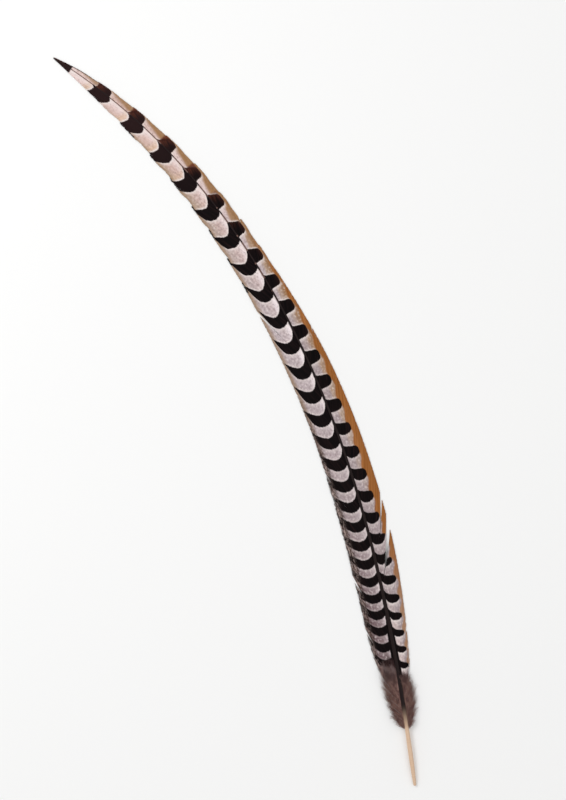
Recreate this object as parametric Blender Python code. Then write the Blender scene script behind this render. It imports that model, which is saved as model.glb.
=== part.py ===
"""Barred tail feather of a long-tailed pheasant, lying with its upper side up on a flat surface.

Metres, +Z up. The feather is one grown piece: a tapered shaft with a bare quill, two vanes whose
barbs lie at a low angle to the shaft and part into locks at the margin, and short down tufts at the
base. Distances called from_tip run along the shaft, from the tip towards the quill.
"""

import math

import bmesh
import bpy
import numpy as np
from mathutils import Vector

# The feather as a whole
FEATHER_LENGTH = 0.868
TIP_LEAN = math.radians(58)
QUILL_LEAN = math.radians(8)
LEAN_POWER = 1.7
PLAN_CENTRE = Vector((-0.186092, 0.375530))

# The shaft: (from_tip, radius), and how high it arches off the surface
SHAFT_RADII = ((0, 0.0004), (0.10, 0.0005), (0.25, 0.0007), (0.45, 0.0011), (0.62, 0.0015),
               (0.74, 0.0019), (0.80, 0.0021), (0.855, 0.0020), (FEATHER_LENGTH, 0.0014))
SHAFT_RINGS = 64
SHAFT_ARCH = 0.0062
ARCH_POWER = 0.7
# The margins carry the feather; the shaft and the down end this far above the surface.
REST_GAP = 0.0002

# The vanes: (from_tip, half width) along each margin, seen from above with the tip up
LEFT_MARGIN = ((0, 0.0005), (0.022, 0.0045), (0.060, 0.0098), (0.110, 0.0146), (0.170, 0.0182),
               (0.250, 0.0212), (0.350, 0.0240), (0.500, 0.0252), (0.600, 0.0262), (0.680, 0.0252),
               (0.720, 0.0232), (0.745, 0.0190))
RIGHT_MARGIN = ((0, 0.0005), (0.022, 0.0034), (0.060, 0.0064), (0.110, 0.0092), (0.170, 0.0116),
                (0.250, 0.0132), (0.310, 0.0142), (0.360, 0.0168), (0.410, 0.0198), (0.470, 0.0216),
                (0.560, 0.0226), (0.620, 0.0224), (0.680, 0.0190), (0.720, 0.0158),
                (0.745, 0.0136))
VANE_THICKNESS = 0.0009
VANE_END = 0.745
# (from_tip, angle between barb and shaft)
BARB_ANGLES = ((0, 12), (0.08, 16), (0.20, 20), (0.60, 22), (0.70, 25), (VANE_END, 34))
TIP_REACH = 0.008
BARB_CURL = 0.25
DROOP_END = 0.80
DROOP_POWER = 1.7

# Locks: the margin falls back a little at each parting, and far at the splits
LOCKS_PER_VANE = 30
LOCK_STEPS = ((0.0, 0.955), (0.45, 0.985), (0.85, 1.0))
LEFT_SPLITS = {13: 0.72, 25: 0.70}
RIGHT_SPLITS = {9: 0.75, 22: 0.60, 23: 0.52}
VANE_COLUMNS = (-1, -0.86, -0.55, -0.25, 0, 0.25, 0.55, 0.86, 1)

# Tufts of down below the vanes: on each side, from the first to the last along the shaft
DOWN_TUFTS = 8
DOWN_SIDES = (("left", -1, 1.0), ("right", 1, 0.75))
DOWN_ROOTS = (0.766, 0.810)
DOWN_LENGTHS = (0.032, 0.016)
DOWN_ANGLES = (math.radians(25), math.radians(54))
DOWN_RADII = (0.0017, 0.0005)
DOWN_POINTS = 5

# Points closer than this are one
WELD = 0.00001

# Colours and surface, from the photograph
VANE_COLOUR = (0.55, 0.47, 0.45, 1)
VANE_ROUGHNESS = 0.6


def along(points, where):
    """The smooth curve through a short list of (place, value) points, read at where."""
    places = np.array([place for place, value in points], float)
    values = np.array([value for place, value in points], float)
    slopes = np.gradient(values, places)
    piece = np.clip(np.searchsorted(places, where, side="right") - 1, 0, len(places) - 2)
    span = places[piece + 1] - places[piece]
    t = np.clip((where - places[piece]) / span, 0, 1)
    start = values[piece] * (1 + 2 * t) * (1 - t) ** 2 + slopes[piece] * span * t * (1 - t) ** 2
    end = values[piece + 1] * t**2 * (3 - 2 * t) - slopes[piece + 1] * span * t**2 * (1 - t)
    return start + end


def shaft_line(steps=434):
    """Places and leans along the shaft's plan curve, from the tip to the quill's end."""
    from_quill = np.linspace(0, 1, steps + 1)
    lean = QUILL_LEAN + (TIP_LEAN - QUILL_LEAN) * from_quill**LEAN_POWER
    step = FEATHER_LENGTH / steps
    middle = (lean[1:] + lean[:-1]) / 2
    x = np.concatenate([[0], np.cumsum(-np.sin(middle) * step)])
    y = np.concatenate([[0], np.cumsum(np.cos(middle) * step)])
    from_tip = FEATHER_LENGTH * (1 - from_quill)
    return from_tip[::-1], x[::-1], y[::-1], lean[::-1]


LINE = shaft_line()


def shaft_height(from_tip):
    """Height of the shaft's axis: it arches from the quill, which rests, to the resting tip."""
    arch = max(math.sin(math.pi * from_tip / FEATHER_LENGTH), 0) ** ARCH_POWER
    return float(along(SHAFT_RADII, from_tip)) + REST_GAP + SHAFT_ARCH * arch


def on_plan(from_tip, aside):
    """World x and y of a point beside the shaft; aside is positive to the right of it."""
    places, x, y, leans = LINE
    lean = np.interp(from_tip, places, leans)
    centre = Vector((np.interp(from_tip, places, x), np.interp(from_tip, places, y)))
    return centre + aside * Vector((math.cos(lean), math.sin(lean))) - PLAN_CENTRE


def barb_point(margin, end, across, length):
    """A point on the vane, along the barb that reaches the margin at end.

    across runs from 0 at the shaft to 1 at the margin, negative on the left; length shortens the
    barb where the locks part.
    """
    reached = abs(across) * length
    half_width = float(along(margin, end))
    angle = math.radians(float(along(BARB_ANGLES, end)))
    advance = TIP_REACH + half_width / math.tan(angle)
    travelled = reached * (1 - BARB_CURL) + reached**2 * BARB_CURL
    from_tip = end + advance * (1 - travelled)
    top = shaft_height(from_tip) + 0.3 * float(along(SHAFT_RADII, from_tip))
    droop = min(reached / DROOP_END, 1) ** DROOP_POWER
    height = top + (VANE_THICKNESS - top) * droop
    plan = on_plan(from_tip, math.copysign(half_width * reached, across))
    return Vector((plan.x, plan.y, height))


def lock_rows(splits):
    """(end, length) of each row of barbs on one vane, from the tip to the down."""
    rows = [(0, 1)]
    for lock in range(LOCKS_PER_VANE):
        for place, length in reversed(LOCK_STEPS):
            end = VANE_END * (lock + 1 - place) / LOCKS_PER_VANE
            rows.append((end, splits.get(lock, length) if place == 0 else length))
    return rows


def make_vanes():
    """Both vanes as one sheet: a grid carried onto the barbs, then thickened downwards."""
    left = lock_rows(LEFT_SPLITS)
    right = lock_rows(RIGHT_SPLITS)
    grid = bmesh.new()
    bmesh.ops.create_grid(
        grid, x_segments=len(VANE_COLUMNS) - 1, y_segments=len(left) - 1, size=1
    )
    for vert in grid.verts:
        column = round((vert.co.x + 1) / 2 * (len(VANE_COLUMNS) - 1))
        row = round((1 - vert.co.y) / 2 * (len(left) - 1))
        across = VANE_COLUMNS[column]
        margin, rows = (LEFT_MARGIN, left) if across < 0 else (RIGHT_MARGIN, right)
        end, length = rows[row]
        if across == 0:
            # The centre line runs halfway between the two vanes' barb roots.
            roots = [barb_point(margin, end, 0, 1) for margin in (LEFT_MARGIN, RIGHT_MARGIN)]
            vert.co = (roots[0] + roots[1]) / 2
        else:
            vert.co = barb_point(margin, end, across, length)
    under = bmesh.ops.extrude_face_region(grid, geom=grid.faces[:], use_keep_orig=True)
    under_verts = [item for item in under["geom"] if isinstance(item, bmesh.types.BMVert)]
    bmesh.ops.translate(grid, verts=under_verts, vec=(0, 0, -VANE_THICKNESS))
    bmesh.ops.recalc_face_normals(grid, faces=grid.faces)
    mesh = bpy.data.meshes.new("vanes")
    grid.to_mesh(mesh)
    grid.free()
    return bpy.data.objects.new("vanes", mesh)


def tapered_curve(name, points):
    """A round, capped curve whose points' radii are its real radii."""
    curve = bpy.data.curves.new(name, "CURVE")
    curve.dimensions = "3D"
    curve.bevel_depth = 1
    curve.bevel_resolution = 2
    curve.use_fill_caps = True
    curve.splines.new("POLY").points.add(points - 1)
    return curve


def make_shaft():
    """The shaft and quill: a round rod along the plan curve, thick at the quill, fine at the tip."""
    curve = tapered_curve("shaft_line", SHAFT_RINGS + 1)
    for ring, point in enumerate(curve.splines[0].points):
        from_tip = FEATHER_LENGTH * ring / SHAFT_RINGS
        plan = on_plan(from_tip, 0)
        point.co = (plan.x, plan.y, shaft_height(from_tip), 1)
        point.radius = float(along(SHAFT_RADII, from_tip))
    return bpy.data.objects.new("shaft_line", curve)


def make_tuft(side, share, place):
    """One tuft of down, from inside the shaft out to its fine end, which lies on the surface."""
    root = DOWN_ROOTS[0] + (DOWN_ROOTS[1] - DOWN_ROOTS[0]) * place
    length = (DOWN_LENGTHS[0] + (DOWN_LENGTHS[1] - DOWN_LENGTHS[0]) * place) * share
    angle = DOWN_ANGLES[0] + (DOWN_ANGLES[1] - DOWN_ANGLES[0]) * place
    curve = tapered_curve("tuft_line", DOWN_POINTS)
    for number, point in enumerate(curve.splines[0].points):
        out = number / (DOWN_POINTS - 1)
        radius = DOWN_RADII[0] + (DOWN_RADII[1] - DOWN_RADII[0]) * out
        lowest = radius + REST_GAP
        plan = on_plan(root - length * out * math.cos(angle), side * length * out * math.sin(angle))
        height = lowest + (shaft_height(root) - lowest) * (1 - out) ** 2
        point.co = (plan.x, plan.y, height, 1)
        point.radius = radius
    return bpy.data.objects.new("tuft_line", curve)


def as_mesh(obj, name, collection):
    """A mesh object of what obj looks like with its modifiers; obj is removed."""
    collection.objects.link(obj)
    bpy.context.view_layer.update()
    graph = bpy.context.evaluated_depsgraph_get()
    mesh = bpy.data.meshes.new_from_object(obj.evaluated_get(graph))
    mesh.name = name
    made = bpy.data.objects.new(name, mesh)
    made.matrix_world = obj.matrix_world
    bpy.data.objects.remove(obj)
    collection.objects.link(made)
    work = bmesh.new()
    work.from_mesh(mesh)
    bmesh.ops.remove_doubles(work, verts=work.verts, dist=WELD)
    bmesh.ops.recalc_face_normals(work, faces=work.faces)
    work.to_mesh(mesh)
    work.free()
    return made


def vane_material():
    material = bpy.data.materials.new("barred vane")
    material.use_nodes = True
    shader = material.node_tree.nodes["Principled BSDF"]
    shader.inputs["Base Color"].default_value = VANE_COLOUR
    shader.inputs["Roughness"].default_value = VANE_ROUGHNESS
    shader.inputs["Metallic"].default_value = 0
    return material


def main():
    for obj in list(bpy.data.objects):
        bpy.data.objects.remove(obj)
    collection = bpy.data.collections.new("pheasant tail feather")
    cutters = bpy.data.collections.new("vanes and down")
    for made in (collection, cutters):
        bpy.context.scene.collection.children.link(made)

    cutters.objects.link(make_vanes())
    for word, side, share in DOWN_SIDES:
        for number in range(DOWN_TUFTS):
            tuft = make_tuft(side, share, number / (DOWN_TUFTS - 1))
            as_mesh(tuft, f"{word}_tuft_{number}", cutters)
    for helper in cutters.objects:
        helper.hide_render = True
        helper.display_type = "WIRE"

    feather = as_mesh(make_shaft(), "tail_feather", collection)
    joined = feather.modifiers.new("vanes and down", "BOOLEAN")
    joined.operation = "UNION"
    joined.operand_type = "COLLECTION"
    joined.collection = cutters
    feather.data.materials.append(vane_material())
    feather.data.shade_smooth()


main()
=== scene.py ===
"""Barred tail feather of a long-tailed pheasant, lying on a pale floor with its upper side up.

Metres, +Z up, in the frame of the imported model. Distances called from_tip run along the shaft, from
the tip towards the quill; aside is the distance beside the shaft; reached runs along a barb, from 0
at the shaft to 1 at the margin. Finishes read the same places in millimetres.
"""

import math

import bmesh
import bpy
import numpy as np
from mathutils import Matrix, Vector


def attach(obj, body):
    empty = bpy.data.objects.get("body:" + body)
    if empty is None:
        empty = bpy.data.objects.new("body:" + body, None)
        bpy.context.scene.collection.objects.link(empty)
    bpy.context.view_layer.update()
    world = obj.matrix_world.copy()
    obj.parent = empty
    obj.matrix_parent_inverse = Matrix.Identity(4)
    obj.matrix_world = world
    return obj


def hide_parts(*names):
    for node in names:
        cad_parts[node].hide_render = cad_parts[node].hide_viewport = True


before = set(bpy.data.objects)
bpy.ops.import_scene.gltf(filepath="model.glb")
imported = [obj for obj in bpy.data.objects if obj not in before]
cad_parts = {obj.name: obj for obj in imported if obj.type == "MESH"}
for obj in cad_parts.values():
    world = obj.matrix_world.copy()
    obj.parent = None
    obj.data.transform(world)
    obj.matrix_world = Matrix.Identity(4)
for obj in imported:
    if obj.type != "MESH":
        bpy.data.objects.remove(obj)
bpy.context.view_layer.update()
FEATHER = "tail_feather"

# The feather's line and outline, as its solid has them
FEATHER_LENGTH = 0.868
TIP_LEAN = math.radians(58)
QUILL_LEAN = math.radians(8)
LEAN_POWER = 1.7
PLAN_CENTRE = (-0.186092, 0.375530)
SHAFT_RADII = ((0, 0.0004), (0.10, 0.0005), (0.25, 0.0007), (0.45, 0.0011), (0.62, 0.0015),
               (0.74, 0.0019), (0.80, 0.0021), (0.855, 0.0020), (FEATHER_LENGTH, 0.0014))
SHAFT_ARCH = 0.0062
ARCH_POWER = 0.7
REST_GAP = 0.0002
LEFT_MARGIN = ((0, 0.0005), (0.022, 0.0045), (0.060, 0.0098), (0.110, 0.0146), (0.170, 0.0182),
               (0.250, 0.0212), (0.350, 0.0240), (0.500, 0.0252), (0.600, 0.0262), (0.680, 0.0252),
               (0.720, 0.0232), (0.745, 0.0190))
RIGHT_MARGIN = ((0, 0.0005), (0.022, 0.0034), (0.060, 0.0064), (0.110, 0.0092), (0.170, 0.0116),
                (0.250, 0.0132), (0.310, 0.0142), (0.360, 0.0168), (0.410, 0.0198), (0.470, 0.0216),
                (0.560, 0.0226), (0.620, 0.0224), (0.680, 0.0190), (0.720, 0.0158),
                (0.745, 0.0136))
VANE_THICKNESS = 0.0009
VANE_END = 0.745
BARB_ANGLES = ((0, 12), (0.08, 16), (0.20, 20), (0.60, 22), (0.70, 25), (VANE_END, 34))
TIP_REACH = 0.008
BARB_CURL = 0.25
DROOP_END = 0.80
DROOP_POWER = 1.7

# Barbs: many to a lock, and a small parting between one lock and the next
LOCK_LENGTHS = (0.0036, 0.0062)
BARBS_PER_LOCK = 12
POINTS_PER_BARB = 15
BARB_WIDTH = 0.00032
BARB_THICKNESS = 0.00011
BARB_TIP_WIDTH = 0.5
BARB_SINK = 0.00012
SHINGLE_TILT = math.radians(10)
RIDGE_UP = math.radians(-90)
LOCK_LIFT = 0.00030
LOWEST_BARB = 0.00008
# How far open the small partings are, least and most
SMALL_PARTING = (0.0003, 0.0009)
# Large partings: (from_tip at the margin, how far open along the shaft, where along the barb it starts)
LEFT_SPLITS = ((0.180, 0.0012, 0.80), (0.3477, 0.0030, 0.40), (0.4420, 0.0016, 0.80),
               (0.531, 0.0024, 0.76), (0.6457, 0.0040, 0.66), (0.702, 0.0030, 0.70))
RIGHT_SPLITS = ((0.112, 0.0012, 0.75), (0.2483, 0.0026, 0.72), (0.385, 0.0012, 0.80),
                (0.5712, 0.0036, 0.30), (0.5960, 0.0080, 0.10), (0.706, 0.0024, 0.65))
# (from_tip, how much shorter a barb may be)
LEFT_FRAY = ((0, 0.02), (0.04, 0.03), (0.10, 0.035), (0.30, 0.025), (0.44, 0.04), (0.52, 0.10),
             (0.66, 0.12), (0.71, 0.16), (VANE_END, 0.45))
RIGHT_FRAY = ((0, 0.02), (0.10, 0.015), (0.60, 0.02), (0.70, 0.06), (0.72, 0.16),
              (VANE_END, 0.45))

# Share of their length that pale barbs near the tip have lost
PALE_WEAR = 0.07

# Loose down on both sides of the quill's upper end, from the vanes' end to the bare quill
DOWN_LOCKS = 18
DOWN_BARBS_PER_LOCK = 11
FELT_LOCKS = 30
FELT_BARBS_PER_LOCK = 34
FELT_SHARE = 0.84
DOWN_FIRST_LEFT = 0.748
DOWN_FIRST_RIGHT = 0.762
DOWN_LAST = 0.809
DOWN_LENGTHS = ((0, 0.014), (0.12, 0.024), (0.28, 0.034), (0.6, 0.031), (0.85, 0.022), (1, 0.013))
DOWN_RIGHT_SHARE = 0.75
DOWN_ANGLES = (19, 58)
BARBULES_PER_BARB = 16
BARBULE_LENGTHS = (0.0016, 0.0034)

# Where some of the dark bars cross the middle of their vane, (number, from_tip in millimetres), read
# to the whole millimetre; number 0 is the dark tip, and the bars between are spaced smoothly
BAR_COUNT = 30
DARK_TIP = 12
LEFT_SPACING = ((1, 63), (2, 111), (4, 194), (8, 335), (12, 452), (16, 551), (20, 635), (24, 706),
                (29, 790))
RIGHT_SPACING = ((1, 63), (3, 149), (6, 260), (10, 384), (14, 493), (18, 589), (22, 674), (26, 744),
                 (29, 792))

# Small dark flecks along the left margin, between the bars nearest the tip
FIRST_FLECK = 78.0
FLECK_STEP = 34.2
FLECK_COUNT = 9


def along(points, where):
    """The smooth curve through a short list of (place, value) points, read at where."""
    places = np.array([place for place, value in points], float)
    values = np.array([value for place, value in points], float)
    slopes = np.gradient(values, places)
    piece = np.clip(np.searchsorted(places, where, side="right") - 1, 0, len(places) - 2)
    span = places[piece + 1] - places[piece]
    t = np.clip((where - places[piece]) / span, 0, 1)
    start = values[piece] * (1 + 2 * t) * (1 - t) ** 2 + slopes[piece] * span * t * (1 - t) ** 2
    end = values[piece + 1] * t**2 * (3 - 2 * t) - slopes[piece + 1] * span * t**2 * (1 - t)
    return start + end


def bar_places(spacing):
    return [DARK_TIP, *along(spacing, np.arange(1.0, BAR_COUNT))]


LEFT_BARS = bar_places(LEFT_SPACING)
RIGHT_BARS = bar_places(RIGHT_SPACING)
LEFT_FLECKS = [FIRST_FLECK + FLECK_STEP * number for number in range(FLECK_COUNT)]


def shaft_line(steps=434):
    """Places and leans along the shaft's plan curve, from the tip to the quill's end."""
    from_quill = np.linspace(0, 1, steps + 1)
    lean = QUILL_LEAN + (TIP_LEAN - QUILL_LEAN) * from_quill**LEAN_POWER
    step = FEATHER_LENGTH / steps
    middle = (lean[1:] + lean[:-1]) / 2
    x = np.concatenate([[0], np.cumsum(-np.sin(middle) * step)])
    y = np.concatenate([[0], np.cumsum(np.cos(middle) * step)])
    from_tip = FEATHER_LENGTH * (1 - from_quill)
    return from_tip[::-1], x[::-1], y[::-1], lean[::-1]


LINE = shaft_line()


def shaft_height(from_tip):
    """Height of the shaft's axis: it arches from the quill, which rests, to the resting tip."""
    inside = np.clip(from_tip / FEATHER_LENGTH, 0, 1)
    arch = np.clip(np.sin(np.pi * inside), 0, None) ** ARCH_POWER
    return along(SHAFT_RADII, from_tip) + REST_GAP + SHAFT_ARCH * arch


def in_world(from_tip, aside, height):
    """World points beside the shaft; aside is positive to the right of it."""
    places, x, y, leans = LINE
    lean = np.interp(from_tip, places, leans)
    east = np.interp(from_tip, places, x) + aside * np.cos(lean) - PLAN_CENTRE[0]
    north = np.interp(from_tip, places, y) + aside * np.sin(lean) - PLAN_CENTRE[1]
    return np.stack(np.broadcast_arrays(east, north, height), axis=-1)


def linked(name, data):
    """A new object of the scene."""
    made = bpy.data.objects.new(name, data)
    bpy.context.scene.collection.objects.link(made)
    return made


def store(mesh, name, values):
    """A vector for each point of the mesh."""
    data = mesh.attributes.new(name, "FLOAT_VECTOR", "POINT").data
    data.foreach_set("vector", values.astype(np.float32).ravel())


def read(items, name, width=1, kind=np.int32):
    """One property of every item, as an array."""
    values = np.empty(len(items) * width, kind)
    items.foreach_get(name, values)
    return values if width == 1 else values.reshape(-1, width)


def smooth(low, high, value):
    t = np.clip((value - low) / (high - low), 0, 1)
    return t * t * (3 - 2 * t)


# Node writing


def arithmetic(operation, turned=False):
    """A method of Wire that adds one Math node; turned puts the other term first."""
    def method(self, other):
        return self.math(operation, other, turned=turned)
    return method


class Wire:
    """A number that varies: an output socket whose arithmetic adds Math nodes to its tree."""

    def __init__(self, socket):
        self.socket = socket

    def math(self, operation, *others, clamp=False, turned=False):
        node = self.socket.id_data.nodes.new("ShaderNodeMath")
        node.operation = operation
        node.use_clamp = clamp
        terms = (*others, self) if turned else (self, *others)
        for place, term in enumerate(terms):
            plug(node.inputs[place], term)
        return Wire(node.outputs[0])

    __add__ = __radd__ = arithmetic("ADD")
    __sub__ = arithmetic("SUBTRACT")
    __rsub__ = arithmetic("SUBTRACT", turned=True)
    __mul__ = __rmul__ = arithmetic("MULTIPLY")
    __truediv__ = arithmetic("DIVIDE")
    __rtruediv__ = arithmetic("DIVIDE", turned=True)
    __pow__ = arithmetic("POWER")
    __mod__ = arithmetic("FLOORED_MODULO")
    at_least = arithmetic("MAXIMUM")
    at_most = arithmetic("MINIMUM")

    def __neg__(self):
        return self * -1

    def __floordiv__(self, other):
        return (self / other).math("FLOOR")

    def fraction(self):
        return self.math("FRACT")

    def step(self, low, high):
        """0 below low and 1 above high, smooth between them; low may be the larger."""
        t = ((self - low) / (high - low)).math("MULTIPLY", 1, clamp=True)
        return t * t * (3 - 2 * t)


def plug(socket, value):
    """Links a wire or a socket, or sets a plain value."""
    if isinstance(value, Wire):
        value = value.socket
    if isinstance(value, bpy.types.NodeSocket):
        socket.id_data.links.new(value, socket)
    else:
        socket.default_value = value


class Workshop:
    """Writes nodes into one tree."""

    def __init__(self, tree):
        self.tree = tree

    def node(self, kind, settings=None, inputs=None):
        """Any node: its settings come first, then its sockets, by name or number."""
        made = self.tree.nodes.new(kind)
        for name, value in (settings or {}).items():
            setattr(made, name, value)
        for name, value in (inputs or {}).items():
            plug(made.inputs[name], value)
        return made

    def made(self, kind, settings=None, inputs=None, output=0):
        """What a new node puts out."""
        return self.node(kind, settings, inputs).outputs[output]

    def wire(self, kind, settings=None, inputs=None, output=0):
        return Wire(self.made(kind, settings, inputs, output))

    def vector(self, x=0.0, y=0.0, z=0.0):
        return self.made("ShaderNodeCombineXYZ", inputs={0: x, 1: y, 2: z})

    def parts(self, vector):
        """The three numbers of a vector."""
        split = self.node("ShaderNodeSeparateXYZ", inputs={0: vector})
        return [Wire(socket) for socket in split.outputs]

    def position(self):
        return self.made("GeometryNodeInputPosition")

    def named(self, name, kind="FLOAT"):
        """An attribute of the geometry, by its name."""
        return self.made("GeometryNodeInputNamedAttribute", {"data_type": kind}, {"Name": name})


# Finishes


def tint(red, green, blue):
    """A tint, 0 to 255, as the shader's linear colour; tints were matched to the photograph."""
    linear = [(c / 255) / 12.92 if c <= 10 else ((c / 255 + 0.055) / 1.055) ** 2.4
              for c in (red, green, blue)]
    return (*linear, 1)


class Finish(Workshop):
    """One material, made of shader nodes."""

    def __init__(self, name):
        self.material = bpy.data.materials.new(name)
        self.material.use_nodes = True
        super().__init__(self.material.node_tree)
        self.shader = self.tree.nodes["Principled BSDF"]

    def attribute(self, name):
        """The three numbers of a vector attribute."""
        return self.parts(self.made("ShaderNodeAttribute", {"attribute_name": name}, output="Vector"))

    def noise(self, vector, scale=1.0, detail=2.0, roughness=0.5):
        return self.wire("ShaderNodeTexNoise", {"noise_dimensions": "3D"}, {
            "Vector": vector, "Scale": scale, "Detail": detail, "Roughness": roughness})

    def blend(self, amount, first, second):
        """first where amount is 0 and second where it is 1."""
        inputs = {0: amount, 6: first, 7: second}
        return self.made("ShaderNodeMix", {"data_type": "RGBA"}, inputs, output=2)

    def lit(self, colour, amount):
        """The colour times a number."""
        grey = self.vector(amount, amount, amount)
        return self.made("ShaderNodeVectorMath", {"operation": "MULTIPLY"}, {0: colour, 1: grey})

    def graph(self, where, points):
        """A number that follows (place, value) points as where runs along them."""
        first, last = points[0][0], points[-1][0]
        top = max(value for place, value in points)
        node = self.node("ShaderNodeFloatCurve", inputs={"Value": (where - first) / (last - first)})
        curve = node.mapping.curves[0]
        spots = [((place - first) / (last - first), value / top) for place, value in points]
        while len(curve.points) < len(spots):
            curve.points.new(0.5, 0.5)
        for point, spot in zip(curve.points, spots, strict=True):
            point.location = spot
        node.mapping.update()
        return Wire(node.outputs[0]) * top

    def ramp(self, where, stops):
        """A colour that follows (place, colour) stops as where runs along them."""
        first, last = stops[0][0], stops[-1][0]
        node = self.node("ShaderNodeValToRGB", inputs={0: (where - first) / (last - first)})
        elements = node.color_ramp.elements
        elements[0].color = stops[0][1]
        elements[1].color = stops[-1][1]
        for place, colour in stops[1:-1]:
            elements.new((place - first) / (last - first)).color = colour
        return node.outputs[0]

    def bars(self, from_tip, places):
        """Where from_tip lies among the bars: 0 at the middle of one, 0.5 halfway to the next."""
        count = len(places) - 1
        before = (places[0] - 60, 0)
        spots = [before] + [(place, number + 1) for number, place in enumerate(places)]
        return (self.graph(from_tip, spots[: count + 2]) + 0.5).fraction() - 0.5

    def done(self, colour, roughness, bump=None, distance=0.0002, gloss=0.5):
        sockets = self.shader.inputs
        plug(sockets["Base Color"], colour)
        plug(sockets["Roughness"], roughness)
        sockets["Specular IOR Level"].default_value = gloss
        if bump is not None:
            raised = self.node("ShaderNodeBump", inputs={
                "Strength": 0.6, "Distance": distance, "Height": bump})
            plug(sockets["Normal"], raised.outputs[0])
        return self.material


BAR_BLACK = tint(8, 4, 5)
BAR_BROWN = tint(62, 38, 38)
CHESTNUT = tint(112, 60, 42)
CHESTNUT_DARK = tint(62, 30, 24)
RIM_WHITE = tint(240, 228, 224)
PEACH = tint(222, 186, 148)
MARGIN_BEIGE = tint(166, 138, 112)
ORANGE_TAN = tint(156, 97, 46)
TAN_LIGHT = tint(172, 112, 62)
TAN_DARK = tint(112, 66, 38)
MARGIN_SPECK = tint(56, 36, 30)
MARGIN_BROWN = tint(106, 84, 76)
SPECK_PALE = tint(208, 186, 178)
CLOUD = tint(140, 120, 118)
FLUFF = tint(160, 126, 117)
FLUFF_DARK = tint(98, 71, 68)

# Tints of the pale ground between the bars; the smoke grey and dusky mauve are partly the feather's own
# colour and partly painted shade
PINK_WHITE = tint(237, 213, 209)
LILAC_WHITE = tint(250, 238, 241)
ROSE_GREY = tint(198, 183, 186)
SMOKE_GREY_AND_SHADE = tint(177, 161, 163)
SHELL = tint(214, 195, 193)
PEACH_GREY = tint(210, 178, 166)
SAND = tint(188, 162, 142)
OCHRE = tint(165, 124, 86)
DUSKY_MAUVE_AND_SHADE = tint(104, 78, 84)

# How the ground changes from the tip down, (from_tip in millimetres, tint): beside the shaft, further
# out, and along the margin. Its greying and darkening towards the quill is partly the feather's own
# colour and partly painted shade.
LEFT_GROUND = (
    ((0, PINK_WHITE), (180, PINK_WHITE), (360, LILAC_WHITE), (420, LILAC_WHITE), (520, ROSE_GREY),
     (760, ROSE_GREY)),
    ((0, PINK_WHITE), (150, PEACH_GREY), (400, ROSE_GREY), (560, SMOKE_GREY_AND_SHADE), (760, DUSKY_MAUVE_AND_SHADE)),
    ((0, PEACH_GREY), (180, SAND), (360, ROSE_GREY), (550, SMOKE_GREY_AND_SHADE), (700, DUSKY_MAUVE_AND_SHADE), (760, DUSKY_MAUVE_AND_SHADE)),
)
RIGHT_GROUND = (
    ((0, PINK_WHITE), (80, PEACH_GREY), (180, PINK_WHITE), (310, ROSE_GREY), (400, SMOKE_GREY_AND_SHADE),
     (665, SMOKE_GREY_AND_SHADE), (700, SHELL), (760, SHELL)),
    ((0, SAND), (90, OCHRE), (220, OCHRE), (320, SAND), (430, SMOKE_GREY_AND_SHADE), (660, SMOKE_GREY_AND_SHADE), (700, SHELL),
     (760, SHELL)),
    ((0, SAND), (150, OCHRE), (340, OCHRE), (480, SAND), (590, SMOKE_GREY_AND_SHADE), (760, SMOKE_GREY_AND_SHADE)),
)

FULL_TURN = 6.2832

# Millimetres from one bar to the next at the tip, and how much less for each millimetre further on
TIP_PERIOD = 47
PERIOD_LOSS = 0.043


def streaks(finish, end, run):
    """Fine light and dark along the barbs, coarse and fine, about 0.5 in the mean."""
    broad = finish.noise(finish.vector(end * 0.30, run * 0.016, 3.0), 1.0, 2.0, 0.55)
    fine = finish.noise(finish.vector(end * 1.6, run * 0.045, 9.0), 1.0, 1.0, 0.5)
    return broad, fine


def vane_surface(finish, colour, broad, fine, odd, dark):
    """What both vanes share: light and dark that differ from barb to barb, partly the barbs' own random
    tone and partly painted shade in place of their relief, and a matt surface.
    """
    # Partly the barbs' own tone and partly painted shade along the barbs.
    tone = 0.95 + (broad - 0.5) * 0.34 + (fine - 0.5) * 0.30 + (odd - 0.5) * 0.12
    colour = finish.lit(colour, tone)
    roughness = 0.66 - dark * 0.06 + (fine - 0.5) * 0.1
    return finish.done(colour, roughness, gloss=0.06)


def lanes(finish, place, first, second, ground):
    """The ground's three ramps, the second over the first and the third over both."""
    inner, middle, outer = (finish.ramp(place, stops) for stops in ground)
    return finish.blend(second, finish.blend(first, inner, middle), outer)


def near(value, low, high, blur):
    """1 between low and high and 0 outside, over a short blur at each end."""
    return value.step(low - blur, low + blur) * (1 - value.step(high - blur, high + blur))


def bar_ink(finish, place, broad, fine):
    """Black, a little browner near the tip."""
    flecks = (fine * 0.6 + broad * 0.6).step(0.56, 0.90) * 0.42
    return finish.blend(flecks.at_least(place.step(260, 80) * 0.42), BAR_BLACK, BAR_BROWN)


def mottled(finish, ground, place, aside, amount):
    """The pale ground with faint grey-brown clouds a few millimetres across."""
    clouds = finish.noise(finish.vector(place * 0.36, aside * 0.46, 2.0), 1.0, 2.0, 0.6)
    ground = finish.blend(clouds.step(0.48, 0.70) * 0.50 * amount, ground, CLOUD)
    return finish.blend(clouds.step(0.50, 0.30) * 0.50 * amount, ground, RIM_WHITE)


def edged(finish, ground, after_bar, to_bar, amount):
    """The pale ground is lighter against the bar on either side of it."""
    broad_rim = after_bar.step(5.0, 0.6).at_least(to_bar.step(3.6, 0.7))
    fine_rim = after_bar.step(2.0, 0.7) * 0.7 + to_bar.step(1.9, 0.7)
    return finish.blend((broad_rim * 0.75 + fine_rim * 0.5) * amount, ground, RIM_WHITE)


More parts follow.
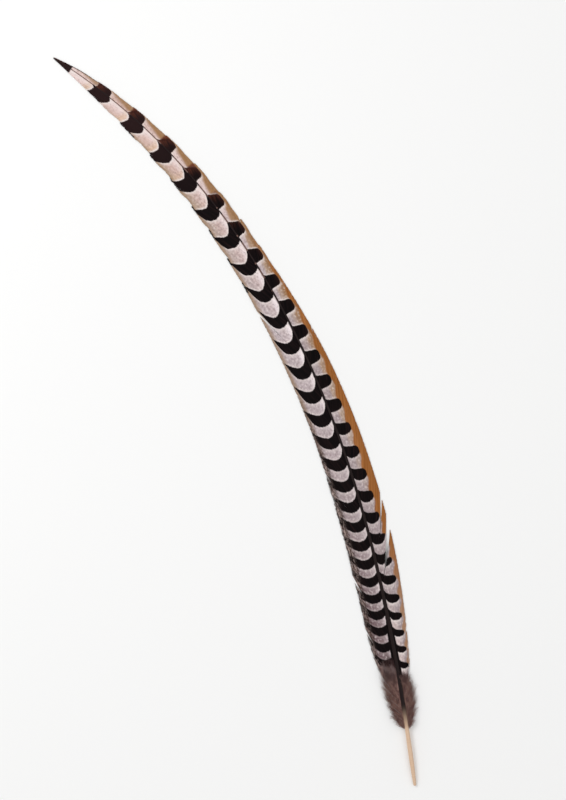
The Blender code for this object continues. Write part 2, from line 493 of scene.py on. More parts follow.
def downy(finish, colour, amount, place, aside):
    """The soft grey-brown that ends both vanes, in blurred patches."""
    patches = finish.noise(finish.vector(place * 0.16, aside * 0.30, 8.0), 1.0, 2.0, 0.6)
    soft = finish.blend(patches.step(0.40, 0.60), FLUFF_DARK, FLUFF)
    soft = finish.blend(patches.step(0.60, 0.72) * 0.5, soft, CLOUD)
    return finish.blend(amount * 0.94, colour, soft)


def beside_shaft(finish, dark, place, aside, broad, widths):
    """The bars with a dark strip beside the shaft, the dark tip, and no bar just after the tip."""
    strip = finish.graph(place, widths) + (broad - 0.5) * 1.5 - aside
    dark = dark.at_least(strip.step(-0.3, 0.4) * place.step(330, 400))
    return (dark * place.step(30, 40)).at_least(place.step(23.0, 21.4))


def left_vane_finish():
    finish = Finish("left vane")
    blend = finish.blend
    place, aside, reached = finish.attribute("laid")
    end, run, odd = finish.attribute("barb")
    broad, fine = streaks(finish, end, run)

    def over(*points):
        return finish.graph(place, points)

    ragged = place + (odd - 0.5) * 0.7 + (fine - 0.5) * 1.2 + (broad - 0.5) * 1.8

    # Each bar is an arc that bulges towards the quill; both its limbs sweep towards the tip.
    limb = over((0, 2), (80, 4.5), (200, 7), (260, 8.5), (300, 12), (334, 16.5), (370, 14), (420, 13),
                (480, 12), (550, 13), (760, 13))
    hook = over((0, 1.5), (150, 4), (300, 4), (430, 6), (560, 6), (760, 6))
    corner = over((0, 0), (250, 2), (330, 3), (450, 9), (560, 6), (640, 2), (700, 0.5), (760, 0.5))
    shoulder = over((0, 0), (80, 1), (150, 5), (190, 8), (240, 8), (300, 6), (360, 4), (430, 1), (500, 0),
                    (760, 0))
    inside = ((0.42 - reached) / 0.42).at_least(0)
    inner = inside ** 3
    outer = ((reached - 0.42) / 0.58).at_least(0) ** 1.7
    nearer = place.step(180, 360) * 0.35 + place.step(500, 700) * 0.3
    phase = finish.bars(ragged + nearer + inner * hook + outer * limb, LEFT_BARS)
    period = TIP_PERIOD - place * PERIOD_LOSS
    half = over((0, 0.23), (60, 0.225), (200, 0.215), (380, 0.222), (450, 0.25), (560, 0.262), (760, 0.275))
    # The bars thin out before the margin in the middle stretch, and reach it elsewhere.
    vanish = over((0, 1.4), (150, 1.3), (220, 1.08), (300, 0.99), (400, 0.96), (480, 1.0), (560, 1.2),
                  (640, 1.35), (760, 1.35))
    fade = ((reached - vanish + 0.28) / 0.28).at_least(0)
    trim = over((0, 1), (60, 2), (100, 6), (150, 6), (190, 4), (230, 3), (290, 0), (760, 0))
    quillward = half * (1 - 2 * fade * fade) - outer * trim / period
    tipward = half + (inner * corner + inside ** 1.3 * shoulder) / period
    dark = near(phase, -tipward, quillward, 0.45 / period)
    # Near the tip there is a small dark fleck along the margin before most bars.
    fleck = near(finish.bars(ragged, LEFT_FLECKS), -0.20, 0.18, 0.02)
    dark = dark.at_least(fleck * (reached + (odd - 0.5) * 0.03).step(0.92, 0.96)
                         * near(place, 95, 330, 8))
    dark = beside_shaft(finish, dark, place, aside, broad,
                        ((330, 1.6), (640, 1.8), (690, 2.6), (712, 4.0), (760, 4.6)))

    # Pale ground: darker outwards, lighter against the bars, peach before a bar near the tip
    out = aside + (broad - 0.5) * 3
    # The ground's darkening towards the quill is partly painted shade.
    ground = lanes(finish, place, out.step(2.5, 9.0), out.step(9.5, 15.5), LEFT_GROUND)
    to_bar = (-tipward - phase).fraction() * period
    after_bar = (phase - quillward).fraction() * period
    peach = to_bar.step(11, 3) * place.step(260, 120) * 0.6
    ground = blend(peach, ground, PEACH)
    ground = mottled(finish, ground, place, aside, 1 - place.step(260, 100) * 0.45)
    lights = 0.76 - place.step(100, 620) * 0.46 - place.step(620, 690) * 0.16
    ground = edged(finish, ground, after_bar, to_bar, lights)
    ground = blend(aside.step(4.5, 2.5) * 0.4, ground, RIM_WHITE)
    edge = reached.step(0.76, 0.96) * place.step(580, 460) * place.step(20, 180)
    ground = blend(edge * 0.85, ground, MARGIN_BEIGE)
    colour = blend(dark, ground, bar_ink(finish, place, broad, fine))

    # Frayed margin from the middle down: brown, with dark and pale specks
    specks = finish.noise(finish.vector(end * 0.75, run * 0.26, 5.0), 1.0, 1.5, 0.5)
    start = 0.90 - place.step(400, 650) * 0.18
    band = (reached + (specks - 0.5) * 0.5 - start).step(-0.06, 0.08) * place.step(400, 520)
    brown = blend(specks.step(0.40, 0.52), MARGIN_BROWN, MARGIN_SPECK)
    colour = blend(band * (0.92 - dark * 0.8), colour, brown)
    pale = specks.step(0.50, 0.40) * (broad + (fine - 0.5) * 0.2).step(0.34, 0.52)
    colour = blend(band * pale * (0.9 - dark * 0.4), colour, SPECK_PALE)
    colour = downy(finish, colour, place.step(737, 749), place, aside)
    return vane_surface(finish, colour, broad, fine, odd, dark)


def right_vane_finish():
    finish = Finish("right vane")
    blend = finish.blend
    place, aside, reached = finish.attribute("laid")
    end, run, odd = finish.attribute("barb")
    broad, fine = streaks(finish, end, run)

    def over(*points):
        return finish.graph(place, points)

    ragged = place + (odd - 0.5) * 0.6 + (fine - 0.5) * 1.1 + (broad - 0.5) * 1.6

    # Each bar is a tongue from the shaft: pointed near the tip, blunt and short of the tan further on
    bar_end = over((0, 4.5), (60, 7), (105, 9), (150, 10.6), (225, 10.6), (290, 11.6), (356, 13.4),
                   (413, 14.2), (466, 15.3), (590, 16.2), (650, 17.6), (675, 16.5), (710, 14.3),
                   (760, 12.0))
    spent = (aside / bar_end).at_most(1)
    blunt = (1 - spent ** 12).at_least(0).math("SQRT")
    belly = (1 - spent ** (4 + place.step(430, 370) * place.step(90, 150) * 4)).at_least(0).math("SQRT")
    phase = finish.bars(ragged, RIGHT_BARS)
    period = TIP_PERIOD - place * PERIOD_LOSS
    half = over((0, 7), (60, 7.2), (105, 7.8), (185, 7.6), (225, 8.2), (324, 7.5), (440, 7.0), (560, 6.3),
                (610, 5.6), (675, 4.8), (700, 4.1), (760, 3.2))
    slant = over((0, 0), (60, 0), (105, 0.45), (150, 0.56), (230, 0.32), (300, 0.27), (360, 0.10),
                 (415, 0.12), (600, 0.13), (760, 0.12))
    flare = (aside * -0.42).math("EXPONENT")
    sweep = over((0, 2.2), (100, 3), (440, 2.8), (540, 4.6), (620, 6.9), (690, 13), (760, 16.5))
    turn = over((0, 0), (440, 0), (500, 6), (540, 8), (620, 8), (690, 12.9), (760, 10.5))
    tipward = half * blunt - slant * (aside - 3.4) + flare * sweep
    quillward = half * 1.03 * belly - flare * turn
    offset = phase * period
    shown = (1 - spent).step(0.0, 0.04)
    dark = near(offset, -tipward, quillward, 0.45) * shown
    rust = aside.step(1.0, 3.2) * place.step(260, 170) * shown * (
        offset.step(half * -1.40, half * -1.06) * offset.step(3.4 - tipward, 1.2 - tipward))
    dark = beside_shaft(finish, dark, place, aside, broad,
                        ((330, 1.1), (640, 1.6), (690, 2.4), (712, 3.6), (760, 4.2)))
    dark = dark.at_least((reached + (odd - 0.5) * 0.06).step(0.84, 0.92) * place.step(62, 50) * 0.75)

    # Pale ground: ochre outwards near the tip, lighter after each bar, orange tan at the margin
    spread = aside / bar_end
    swing = (phase * FULL_TURN).math("SINE")
    after_bar = ((offset - quillward) / period).fraction() * period
    out = aside + (broad - 0.5) * 3 + (after_bar / period - 0.26) * place.step(380, 240) * 8
    out = out + place.step(150, 60) * 1.2
    # The ground's darkening towards the quill is partly painted shade.
    ground = lanes(finish, place, out.step(2.6, 7.0), out.step(6.6, 11.0), RIGHT_GROUND)
    plain = out.step(3, 6.5) * place.step(340, 240) * 0.85
    ground = mottled(finish, ground, place, aside, 1 - plain)
    to_bar = ((-tipward - offset) / period).fraction() * period
    lights = 0.36 + near(place, 180, 420, 50) * 0.40 + place.step(640, 690) * 0.38
    lights = lights * spread.step(1.1, 0.7)
    ground = edged(finish, ground, after_bar, to_bar + 0.6 + place.step(520, 600) * 3, lights)
    wide = near(place, 450, 600, 25) * 0.11 + place.step(680, 700) * 0.03
    tan = (spread + wide - swing * 0.10).step(0.90, 1.04) * place.step(250, 330)
    tan_tone = blend(broad.step(0.35, 0.65), ORANGE_TAN, TAN_LIGHT)
    tan_tone = blend(fine.step(0.50, 0.72) * 0.6, tan_tone, TAN_DARK)
    tan_tone = blend(place.step(600, 700) * 0.5, tan_tone, SAND)
    ground = blend(tan, ground, tan_tone)

    ink = blend(spread.step(0.55, 1.0) * place.step(400, 240) * 0.55,
                bar_ink(finish, place, broad, fine), CHESTNUT_DARK)
    warm = offset.step(4.0, -9.0) * (broad + fine * 0.5).step(0.55, 0.90) * place.step(300, 160)
    ink = blend(warm * 0.75, ink, CHESTNUT)
    colour = blend(dark, ground, ink)
    rust_tone = blend((offset + tipward + broad * 3).step(-1.6, 2.4), CHESTNUT, CHESTNUT_DARK)
    colour = blend(rust * place.step(26, 44), colour, rust_tone)
    colour = downy(finish, colour, (place + (broad - 0.5) * 12).step(752, 760), place, aside)
    return vane_surface(finish, colour, broad, fine, odd, dark)


def shaft_finish():
    finish = Finish("shaft horn")
    place, around, _ = finish.attribute("laid")
    grain = finish.noise(finish.vector(place * 0.05, around * 1.6, 1.0), 1.0, 3.0, 0.6)
    rings = finish.noise(finish.vector(place * 0.55, around * 0.05, 7.0), 1.0, 1.0, 0.5)
    phase = finish.bars(place, LEFT_BARS)
    in_bar = near(phase + place.step(180, 240) * 0.26 * phase.step(0.02, -0.02), -0.26, 0.2, 0.02)
    in_bar = in_bar.at_least(place.step(24, 21))
    distal = finish.blend(grain, tint(100, 74, 70), tint(132, 104, 96))
    distal = finish.blend(in_bar, distal, tint(34, 22, 22))
    middle = finish.blend(grain, tint(20, 14, 15), tint(40, 27, 25))
    horn = place.step(782, 814)
    quill = finish.blend(grain, tint(232, 204, 176), tint(206, 166, 134))
    colour = finish.blend(place.step(300, 360), distal, middle)
    colour = finish.blend(horn, colour, quill)
    colour = finish.lit(colour, 0.94 + (rings - 0.5) * 0.22)
    roughness = 0.46 - horn * 0.16 + (grain - 0.5) * 0.12
    plug(finish.shader.inputs["Coat Weight"], horn * 0.5)
    return finish.done(colour, roughness, grain, 0.00012, gloss=0.12)


def down_finish():
    finish = Finish("down")
    place, aside, _ = finish.attribute("laid")
    _, run, odd = finish.attribute("barb")
    patches = finish.noise(finish.vector(place * 0.14, aside * 0.30, 8.0), 1.0, 2.0, 0.6)
    colour = finish.blend((odd * 0.5 + patches.step(0.36, 0.64) * 0.6), FLUFF_DARK, FLUFF)
    colour = finish.blend(run.step(14, 26) * 0.5, colour, tint(150, 128, 118))
    # The pale ground and the last bars fade out in the down.
    pale = place.step(766, 744) * (0.35 + patches.step(0.42, 0.56) * 0.6)
    colour = finish.blend(pale, colour, CLOUD)
    bent = place + aside * 0.35 + (odd - 0.5) * 3 + (patches - 0.5) * 14
    phase = finish.bars(bent, LEFT_BARS)
    last = near(phase, -0.26, 0.26, 0.06) * place.step(768, 742) * aside.step(16, 12)
    colour = finish.blend(last * 0.85, colour, BAR_BROWN)
    return finish.done(colour, 0.85 - odd * 0.1, gloss=0.05)


# Barbs


def lock_ends(rng, splits):
    """Where the locks of one vane end along the shaft; each split falls between two locks."""
    ends = [0.0]
    for stop in [place for place, _, _ in splits] + [VANE_END]:
        room = stop - ends[-1]
        count = max(round(room / np.mean(LOCK_LENGTHS)), 1)
        lengths = rng.uniform(*LOCK_LENGTHS, count)
        ends.extend(ends[-1] + np.cumsum(lengths) * room / lengths.sum())
    return np.array(ends)


def pale_wear(ends, bars, lead, flecks):
    """How much shorter the barbs are that end between dark bars near the tip: pale barbs wear faster."""
    pale = smooth(0.34, 0.26, ends) * smooth(0.03, 0.05, ends)
    for places, shift, half in ((bars, lead, 0.24), (flecks, 0, 0.18)):
        if not places:
            continue
        count = np.interp(ends * 1000 + shift, places, np.arange(len(places)))
        pale = pale * smooth(half - 0.03, half + 0.03, np.abs((count + 0.5) % 1 - 0.5))
    return PALE_WEAR * pale


def barb_guides(side, margin, splits, fray, wear, seed):
    """Two rows of points for each lock, at its first and last barb, as one mesh of loose points."""
    rng = np.random.default_rng(seed)
    bounds = lock_ends(rng, splits)
    locks = len(bounds) - 1
    ends = np.stack([bounds[:-1], bounds[1:]], axis=1).reshape(-1, 1)
    reached = np.linspace(0.02, 1, POINTS_PER_BARB)[None, :] * (1 - pale_wear(ends, *wear))
    half = along(margin, ends)
    advance = TIP_REACH + half / np.tan(np.radians(along(BARB_ANGLES, ends)))
    travelled = reached * (1 - BARB_CURL) + reached**2 * BARB_CURL
    rest = ends + advance * (1 - travelled)

    # Barbs on either side of a parting bend away from it.
    partings = [(place, rng.uniform(*SMALL_PARTING), rng.uniform(0.72, 0.9), 0.0022)
                for place in bounds[1:-1]]
    partings += [(place, opening, start, 0.012) for place, opening, start in splits]
    shift = np.zeros_like(rest)
    side_of_lock = np.tile([1.0, -1.0], locks)[:, None]
    for place, opening, start, spread in partings:
        apart = ends - place
        way = np.where(np.abs(apart) < 1e-6, side_of_lock, np.sign(apart))
        shift += way * opening * np.exp(-np.abs(apart) / spread) * smooth(start, 1.06, reached)
    lift = np.repeat(rng.uniform(-0.5, 1, locks), 2)[:, None] * LOCK_LIFT
    lift = lift + side_of_lock * 0.5 * LOCK_LIFT * rng.uniform(0, 1, (locks, 1)).repeat(2, 0)

    moved = np.clip(rest + shift, 0, None)
    width = half * np.clip(along(margin, ends + shift), 1e-4, None) / np.clip(half, 1e-4, None)
    top = shaft_height(rest) + 0.3 * along(SHAFT_RADII, rest)
    droop = np.minimum(reached / DROOP_END, 1) ** DROOP_POWER
    height = top + (VANE_THICKNESS - top) * droop - BARB_SINK + lift * reached**2
    height = np.maximum(height, LOWEST_BARB + 0.0001)
    points = in_world(moved, side * width * reached, height)

    laid = (rest * 1000, half * reached * 1000, reached)
    barb = (ends * 1000, advance * travelled * 1000, along(fray, ends))
    return guide_points(points, laid, barb), locks


def guide_points(points, laid, barb):
    mesh = bpy.data.meshes.new("barb guides")
    mesh.from_pydata(points.reshape(-1, 3).tolist(), [], [])
    for name, parts in (("laid", laid), ("barb", barb)):
        store(mesh, name, np.stack(np.broadcast_arrays(*parts), axis=-1))
    return linked("barb guides", mesh)


def down_guides(locks, share, seed):
    """Guide rows of the down's tufts, which lie over the vanes' end and droop as the vanes do."""
    rng = np.random.default_rng(seed)
    tufts = np.linspace(0, 1, locks + 1)
    place = np.tile(np.stack([tufts[:-1], tufts[1:]], axis=1).ravel(), 2)[:, None]
    side = np.repeat([-1.0, 1.0], locks * 2)[:, None]
    tousle = rng.uniform(-1, 1, (locks * 2, 3)).repeat(2, axis=0)[:, :, None]
    reached = np.linspace(0, 1, POINTS_PER_BARB)[None, :]
    first = np.where(side > 0, DOWN_FIRST_RIGHT, DOWN_FIRST_LEFT)
    root = first + (DOWN_LAST - first) * place
    length = along(DOWN_LENGTHS, place) * (1 + 0.12 * tousle[:, 0])
    length = length * np.where(side > 0, DOWN_RIGHT_SHARE, 1) * share
    angle = np.radians(DOWN_ANGLES[0] + (DOWN_ANGLES[1] - DOWN_ANGLES[0]) * place + 4 * tousle[:, 1])
    from_tip = root - length * (reached * np.cos(angle) * 0.9 + 0.1 * reached**2)
    aside = length * np.sin(angle) * (reached * 1.15 - 0.25 * reached**2)
    beside = from_tip - 0.03
    half = np.where(side > 0, along(RIGHT_MARGIN, beside), along(LEFT_MARGIN, beside))
    droop = np.minimum(aside / half / DROOP_END, 1) ** DROOP_POWER
    top = shaft_height(from_tip)
    height = top + (VANE_THICKNESS - top) * droop + 0.0002 + (0.0010 + 0.0006 * tousle[:, 2]) * reached
    points = in_world(from_tip, side * aside, height)
    laid = (from_tip * 1000, aside * 1000, reached)
    return guide_points(points, laid, (root * 1000, length * reached * 1000, 0.35))


def new_tree(name, sockets):
    """A Geometry Nodes tree with named inputs, its workshop and its input wires."""
    tree = bpy.data.node_groups.new(name, "GeometryNodeTree")
    tree.interface.new_socket("Geometry", in_out="INPUT", socket_type="NodeSocketGeometry")
    tree.interface.new_socket("Geometry", in_out="OUTPUT", socket_type="NodeSocketGeometry")
    for label, kind in sockets:
        tree.interface.new_socket(label, in_out="INPUT", socket_type="NodeSocket" + kind)
    shop = Workshop(tree)
    entry = shop.node("NodeGroupInput")
    given = {socket.name: Wire(socket) for socket in entry.outputs if socket.name}
    return tree, shop, given


BARB_INPUTS = (
    ("Locks", "Int"), ("Barbs in a lock", "Int"), ("Points along a barb", "Int"),
    ("Barb width", "Float"), ("Barb thickness", "Float"), ("Tip width", "Float"),
    ("Shingle tilt", "Float"), ("Uneven spacing", "Float"), ("Ruffle", "Float"),
    ("Waviness", "Float"), ("Seed", "Int"), ("Material", "Material"),
)


def stored(shop, geometry, name, value, kind="FLOAT"):
    """The geometry with a named attribute on its points."""
    return shop.made("GeometryNodeStoreNamedAttribute", {"data_type": kind, "domain": "POINT"},
                     {"Geometry": geometry, "Name": name, "Value": value})


def chance(shop, given, offset, low, high, **which):
    """A random number for each point, or one for each ID."""
    inputs = {2: low, 3: high, "Seed": given["Seed"] + offset, **which}
    return shop.wire("FunctionNodeRandomValue", {"data_type": "FLOAT"}, inputs, output=1)


def barb_curves(shop, given):
    """Curves laid between each lock's two guide rows, with what the guides carry."""
    per_barb = given["Points along a barb"]
    per_lock = given["Barbs in a lock"]
    total = given["Locks"] * per_lock * per_barb
    points = shop.made("GeometryNodePoints", inputs={"Count": total})
    index = shop.wire("GeometryNodeInputIndex")
    point = index % per_barb
    number = index // per_barb
    lock = number // per_lock

    uneven = given["Uneven spacing"]
    across = ((number % per_lock) + 0.5 + chance(shop, given, 0, -0.5, 0.5, ID=number) * uneven) / per_lock
    rows = [(lock * 2 + row) * per_barb + point for row in (0, 1)]

    def carried(name):
        source = shop.position() if name == "position" else shop.named(name, "FLOAT_VECTOR")
        ends = [shop.made("GeometryNodeSampleIndex", {"data_type": "FLOAT_VECTOR", "domain": "POINT"},
                          {"Geometry": given["Geometry"], "Value": source, "Index": row})
                for row in rows]
        inputs = {0: across, 4: ends[0], 5: ends[1]}
        return shop.made("ShaderNodeMix", {"data_type": "VECTOR"}, inputs, output=1)

    laid, barb = carried("laid"), carried("barb")
    reached = shop.parts(laid)[2]
    end, run, fray = shop.parts(barb)
    amount = given["Ruffle"] * (1 + fray * 24) * reached ** 3
    wander = shop.made("FunctionNodeRandomValue", {"data_type": "FLOAT_VECTOR"}, {
        0: (-1, -1, 0), 1: (1, 1, 0.6), "ID": number, "Seed": given["Seed"] + 2})
    moved = shop.made("ShaderNodeVectorMath", {"operation": "MULTIPLY_ADD"}, {
        0: wander, 1: shop.vector(amount, amount, amount), 2: carried("position")})
    placed = shop.made("GeometryNodeSetPosition", inputs={"Geometry": points, "Position": moved})
    odd = chance(shop, given, 1, 0, 1, ID=number)
    own = shop.vector(end, run, odd)
    for name, kind, value in (("laid", "FLOAT_VECTOR", laid), ("barb", "FLOAT_VECTOR", own),
                              ("fray", "FLOAT", fray), ("number", "FLOAT", number)):
        placed = stored(shop, placed, name, value, kind)
    curves = shop.made("GeometryNodePointsToCurves", inputs={
        0: placed, "Curve Group ID": number, "Weight": point})
    short = Wire(shop.named("fray"))
    luck = chance(shop, given, 3, 0.0, 1.0)
    trimmed = shop.made("GeometryNodeTrimCurve", {"mode": "FACTOR"}, {
        "Curve": curves, "End": 1 - short * luck * luck})

    # Waves along each barb, deeper where the vane is frayed
    factor = shop.wire("GeometryNodeSplineParameter", output="Factor")
    waves = shop.made("ShaderNodeTexNoise", {"noise_dimensions": "4D"}, {
        "Vector": shop.position(), "W": Wire(shop.named("number")) * 0.17,
        "Scale": 170.0, "Detail": 1.0}, output="Color")
    middle = shop.made("ShaderNodeVectorMath", {"operation": "SUBTRACT"}, {
        0: waves, 1: (0.5, 0.5, 0.42)})
    offset = shop.made("ShaderNodeVectorMath", {"operation": "SCALE"}, {
        0: middle, "Scale": given["Waviness"] * short * factor})
    return shop.made("GeometryNodeSetPosition", inputs={"Geometry": trimmed, "Offset": offset})


def three_sided(shop, radius):
    return shop.made("GeometryNodeCurvePrimitiveCircle", {"mode": "RADIUS"}, {
        "Resolution": 3, "Radius": radius})


def rod(shop, curve, radius, profile):
    """The profile swept along the curve, as thick as radius says, and closed at its ends."""
    sized = shop.made("GeometryNodeSetCurveRadius", inputs={"Curve": curve, "Radius": radius})
    return shop.made("GeometryNodeCurveToMesh", inputs={
        "Curve": sized, "Profile Curve": profile, "Fill Caps": True})


def thin_rod(shop, given, curves):
    """A three-sided rod on each curve: flat below, a ridge above, finer to its tip."""
    upright = shop.made("GeometryNodeSetCurveNormal", {"mode": "Z_UP"}, {"Curve": curves})
    tilted = shop.made("GeometryNodeSetCurveTilt", inputs={
        "Curve": upright, "Tilt": given["Shingle tilt"] + RIDGE_UP})
    factor = shop.wire("GeometryNodeSplineParameter", output="Factor")
    radius = 1 - factor ** 2.5 * (1 - given["Tip width"])
    size = shop.vector(given["Barb thickness"] / 1.5, given["Barb width"] / math.sqrt(3), 1.0)
    beside = shop.parts(shop.position())[1] / math.sqrt(3)
    ring = stored(shop, three_sided(shop, 1.0), "beside", beside)
    profile = shop.made("GeometryNodeTransform", inputs={"Geometry": ring, "Scale": size})
    return rod(shop, tilted, radius, profile)


DOWN_INPUTS = (("Barbules on a barb", "Int"), ("Shortest barbule", "Float"), ("Longest barbule", "Float"))


def barbules(shop, given, curves):
    """Fine bent hairs all round each barb, shorter towards its tip."""
    spots = shop.node("GeometryNodeCurveToPoints", {"mode": "COUNT"}, {
        "Curve": curves, "Count": given["Barbules on a barb"]})
    bent = shop.made("GeometryNodeCurveQuadraticBezier", inputs={
        "Resolution": 3, "Start": (0, 0, 0), "Middle": (0.42, 0, 0.30), "End": (0.62, 0, 0.82)})
    factor = shop.wire("GeometryNodeSplineParameter", output="Factor")
    hair = rod(shop, bent, 1 - factor * 0.6, three_sided(shop, 0.017))
    spin = shop.vector(z=chance(shop, given, 5, 0, 2 * math.pi))
    turned = shop.made("FunctionNodeRotateRotation", {"rotation_space": "LOCAL"}, {
        0: spots.outputs["Rotation"], 1: shop.made("FunctionNodeEulerToRotation", inputs={0: spin})})
    reached = shop.parts(shop.named("laid", "FLOAT_VECTOR"))[2]
    length = chance(shop, given, 6, given["Shortest barbule"], given["Longest barbule"])
    return shop.made("GeometryNodeInstanceOnPoints", inputs={
        "Points": spots.outputs["Points"], "Instance": hair, "Rotation": turned,
        "Scale": length * (1 - reached * 0.5)})


def barb_tree(name, more_inputs=()):
    """Rods along the guides, and barbules on them where the tree has inputs for these."""
    tree, shop, given = new_tree(name, BARB_INPUTS + more_inputs)
    curves = barb_curves(shop, given)
    shape = thin_rod(shop, given, curves)
    if more_inputs:
        joined = shop.node("GeometryNodeJoinGeometry")
        plug(joined.inputs[0], shape)
        plug(joined.inputs[0], barbules(shop, given, curves))
        shape = joined.outputs[0]
    real = shop.made("GeometryNodeRealizeInstances", inputs={"Geometry": shape})
    done = shop.made("GeometryNodeSetMaterial", inputs={"Geometry": real, "Material": given["Material"]})
    shop.node("NodeGroupOutput", inputs={0: done})
    return tree


def grown(name, guides, tree, seed, finish, values):
    """A plain mesh object of what the tree makes from the guides."""
    values = {"Points along a barb": POINTS_PER_BARB, "Seed": seed, "Material": finish, **values}
    modifier = guides.modifiers.new(tree.name, "NODES")
    modifier.node_group = tree
    for item in tree.interface.items_tree:
        if item.in_out == "INPUT" and item.name in values:
            modifier[item.identifier] = values[item.name]
    bpy.context.view_layer.update()
    graph = bpy.context.evaluated_depsgraph_get()
    mesh = bpy.data.meshes.new_from_object(guides.evaluated_get(graph))
    bpy.data.objects.remove(guides)
    mesh.name = name
    return linked(name, mesh)


def numbers(mesh, name, width=1):
    kind = "value" if width == 1 else "vector"
    return read(mesh.attributes[name].data, kind, width, np.float32)


def turn_outwards(mesh):
    """Turns every face round if the mesh is inside out."""
    mesh.calc_loop_triangles()
    corners = read(mesh.loop_triangles, "vertices", 3)
    points = read(mesh.vertices, "co", 3, np.float32).astype(float)
    a, b, c = points[corners].transpose(1, 0, 2)
    if np.einsum("ij,ij->", a, np.cross(b, c)) < 0:
        mesh.flip_normals()


def bake_map(mesh, rows=4, under_share=0.18):
    """A UV map with a strip for each barb, its upper side apart from its underside."""
    corner_vertex = read(mesh.loops, "vertex_index")
    counts = read(mesh.polygons, "loop_total")
    face = np.repeat(np.arange(len(counts)), counts)
    number = numbers(mesh, "number")[corner_vertex]
    beside = numbers(mesh, "beside")[corner_vertex]
    reached = numbers(mesh, "laid", 3)[corner_vertex, 2]
    ridge = np.abs(beside) < 0.1
    under = np.bincount(face, ridge) == 0
    cap = counts == 3
    per_row = math.ceil((number.max() + 1) / rows)
    row = number // per_row
    edge = 0.002
    across = edge + (1 - 2 * edge) * (number % per_row + 0.5 + beside * 0.98) / per_row
    reached = np.clip(reached + 0.004 * (ridge & cap[face]), 0, 1)
    top_height = (1 - under_share) / rows
    under_height = under_share / rows
    up = row * top_height + top_height * (0.01 + 0.98 * reached)
    below = 1 - under_share + row * under_height + under_height * (0.03 + 0.94 * reached)
    uv = np.stack([across, np.where(under[face], below, up)], axis=1)
    layer = mesh.uv_layers.new(name="OFBake")
    layer.data.foreach_set("uv", uv.astype(np.float32).ravel())


def finish_barbs(piece):
    """Faces outwards, a soft ridge between sharp edges, and a UV map with a strip for each barb."""
    mesh = piece.data
    turn_outwards(mesh)
    beside = numbers(mesh, "beside")
    sides = beside[read(mesh.edges, "vertices", 2)]
    sharp = (np.abs(sides).min(axis=1) > 0.1) & (np.abs(sides[:, 0] - sides[:, 1]) < 0.1)
    mesh.shade_smooth()
    flags = mesh.attributes.get("sharp_edge") or mesh.attributes.new("sharp_edge", "BOOLEAN", "EDGE")
    flags.data.foreach_set("value", sharp)
    bake_map(mesh)


def vane(name, side, margin, splits, fray, wear, seed, tree, finish):
    guides, locks = barb_guides(side, margin, splits, fray, wear, seed)
    piece = grown(name, guides, tree, seed, finish, {
        "Locks": locks, "Barbs in a lock": BARBS_PER_LOCK, "Barb width": BARB_WIDTH,
        "Barb thickness": BARB_THICKNESS, "Tip width": BARB_TIP_WIDTH,
        "Shingle tilt": side * SHINGLE_TILT, "Uneven spacing": 0.35, "Ruffle": 0.00010,
        "Waviness": 0.004})
    finish_barbs(piece)
    return piece


def down(name, tree, locks, barbs, width, share, seed, finish):
    shortest, longest = BARBULE_LENGTHS
    piece = grown(name, down_guides(locks, share, seed), tree, seed, finish, {
        "Locks": locks * 2, "Barbs in a lock": barbs, "Barb width": width,
        "Barb thickness": width * 0.6, "Tip width": 0.4, "Shingle tilt": 0.0,
        "Uneven spacing": 1.6, "Ruffle": 0.00030, "Waviness": 0.013,
        "Barbules on a barb": BARBULES_PER_BARB, "Shortest barbule": shortest,
        "Longest barbule": longest})
    turn_outwards(piece.data)
    piece.data.shade_smooth()
    return piece


# Shaft


SHAFT_RINGS = 260
SHAFT_SIDES = 20
PIT_SIZE = 0.0012


def bridge(work, first, second):
    """A band of faces between two rings of points."""
    for k, corner in enumerate(first):
        after = (k + 1) % len(first)
        work.faces.new((corner, first[after], second[after], second[k]))


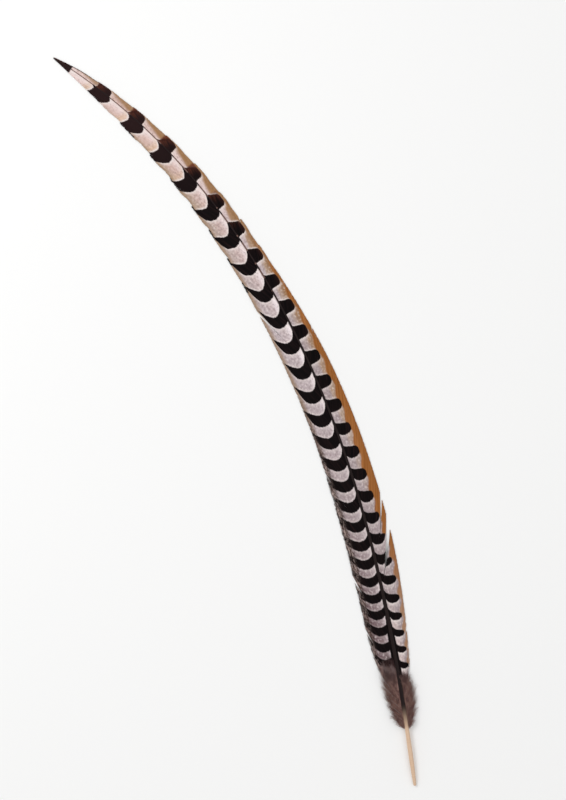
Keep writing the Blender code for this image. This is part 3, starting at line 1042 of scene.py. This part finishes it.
def make_shaft(finish):
    """The shaft as one loft: squarish and grooved below between the vanes, round at the quill."""
    from_tip = np.concatenate([np.linspace(0.0004, FEATHER_LENGTH - 0.003, SHAFT_RINGS - 6),
                               FEATHER_LENGTH - 0.003 * np.linspace(0.75, 0, 6) ** 1.6])
    turn = 2 * np.pi * np.arange(SHAFT_SIDES) / SHAFT_SIDES
    radius = along(SHAFT_RADII, from_tip)[:, None]
    tip = np.clip(from_tip / 0.004, 0, 1)[:, None] ** 0.5
    square = 1 - smooth(0.74, 0.80, from_tip)[:, None]
    east, up = np.sin(turn)[None, :], np.cos(turn)[None, :]
    bulge = 1 + 0.10 * square * np.sin(2 * turn)[None, :] ** 2
    groove = 0.30 * square * np.exp(-((turn[None, :] - np.pi) / 0.34) ** 2)
    aside = radius * tip * east * bulge
    height = shaft_height(from_tip)[:, None] + radius * tip * up * (bulge - groove)
    height = np.maximum(height, 0.00005)
    points = in_world(from_tip[:, None], aside, height)

    work = bmesh.new()
    rings = [[work.verts.new(point) for point in ring] for ring in points]
    for first, second in zip(rings, rings[1:]):
        bridge(work, first, second)
    work.faces.new(rings[0][::-1])
    # The quill's end has a small round pit.
    last = rings[-1]
    centre = sum((vert.co for vert in last), Vector()) / SHAFT_SIDES
    inward = Vector(points[-4].mean(axis=0)) - Vector(points[-1].mean(axis=0))
    for scale, depth in ((0.55, -0.15), (0.42, 0.25), (0.30, 0.9)):
        shift = inward.normalized() * PIT_SIZE * depth
        ring = [work.verts.new(centre + (vert.co - centre) * scale + shift) for vert in rings[-1]]
        bridge(work, last, ring)
        last = ring
    work.faces.new(last)
    bmesh.ops.recalc_face_normals(work, faces=work.faces)
    mesh = bpy.data.meshes.new("shaft")
    work.to_mesh(mesh)
    work.free()
    mesh.shade_smooth()
    extra = len(mesh.vertices) - points.shape[0] * SHAFT_SIDES
    laid = np.zeros((len(mesh.vertices), 3), np.float32)
    laid[:, 0] = np.concatenate([np.repeat(from_tip, SHAFT_SIDES), np.full(extra, FEATHER_LENGTH)]) * 1000
    laid[:, 1] = np.resize(np.minimum(turn, 2 * np.pi - turn), len(mesh.vertices))
    store(mesh, "laid", laid)
    mesh.materials.append(finish)
    return linked("shaft", mesh)


# Studio


def make_floor():
    bpy.ops.mesh.primitive_plane_add(size=14, location=(0, 0, 0))
    floor = bpy.context.object
    floor.name = "floor"
    paper = Finish("pale paper")
    grain = paper.noise(paper.node("ShaderNodeTexCoord").outputs["Object"], 300.0, 2.0)
    floor.data.materials.append(paper.done((0.93, 0.93, 0.925, 1), 0.8 + (grain - 0.5) * 0.1))


def soft_light(name, place, size, power):
    """A round lamp that points at the origin."""
    lamp = bpy.data.lights.new(name, "AREA")
    lamp.shape = "DISK"
    lamp.size = size
    lamp.energy = power
    light = linked(name, lamp)
    light.location = place
    light.rotation_euler = (-Vector(place)).to_track_quat("-Z", "Y").to_euler()


def make_studio():
    world = bpy.data.worlds.new("studio")
    world.use_nodes = True
    back = world.node_tree.nodes["Background"]
    back.inputs["Color"].default_value = (1, 1, 1, 1)
    back.inputs["Strength"].default_value = 0.68
    bpy.context.scene.world = world
    bpy.context.scene.view_settings.view_transform = "Standard"
    soft_light("window", (-1.3, 0.9, 1.8), 1.2, 22)
    soft_light("fill", (1.6, -0.8, 2.0), 1.8, 7)


def make_camera():
    """Straight above, with the feather's tip at the top left as in the photograph."""
    lens = bpy.data.cameras.new("camera")
    lens.lens = 85
    lens.sensor_width = 36
    camera = linked("camera", lens)
    camera.location = (0.050, 0.022, 1.95)
    bpy.context.scene.camera = camera


def main():
    tree = barb_tree("barbs laid in locks")
    left = vane("left_vane", -1, LEFT_MARGIN, LEFT_SPLITS, LEFT_FRAY, (LEFT_BARS, 5, LEFT_FLECKS), 11, tree,
                left_vane_finish())
    right = vane("right_vane", 1, RIGHT_MARGIN, RIGHT_SPLITS, RIGHT_FRAY, (RIGHT_BARS, 0, ()), 23, tree,
                 right_vane_finish())
    shaft = make_shaft(shaft_finish())
    soft = down_finish()
    tufts = barb_tree("down in tufts", DOWN_INPUTS)
    fluff = down("down", tufts, DOWN_LOCKS, DOWN_BARBS_PER_LOCK, 0.00011, 1.0, 37, soft)
    felt = down("inner_down", tree, FELT_LOCKS, FELT_BARBS_PER_LOCK, 0.00015, FELT_SHARE, 41, soft)
    for piece, slot in ((left, "barred_vane"), (right, "barred_vane"), (shaft, "shaft"),
                        (fluff, "down"), (felt, "down")):
        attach(piece, "root")
        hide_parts(FEATHER)
    make_floor()
    make_studio()
    make_camera()


main()
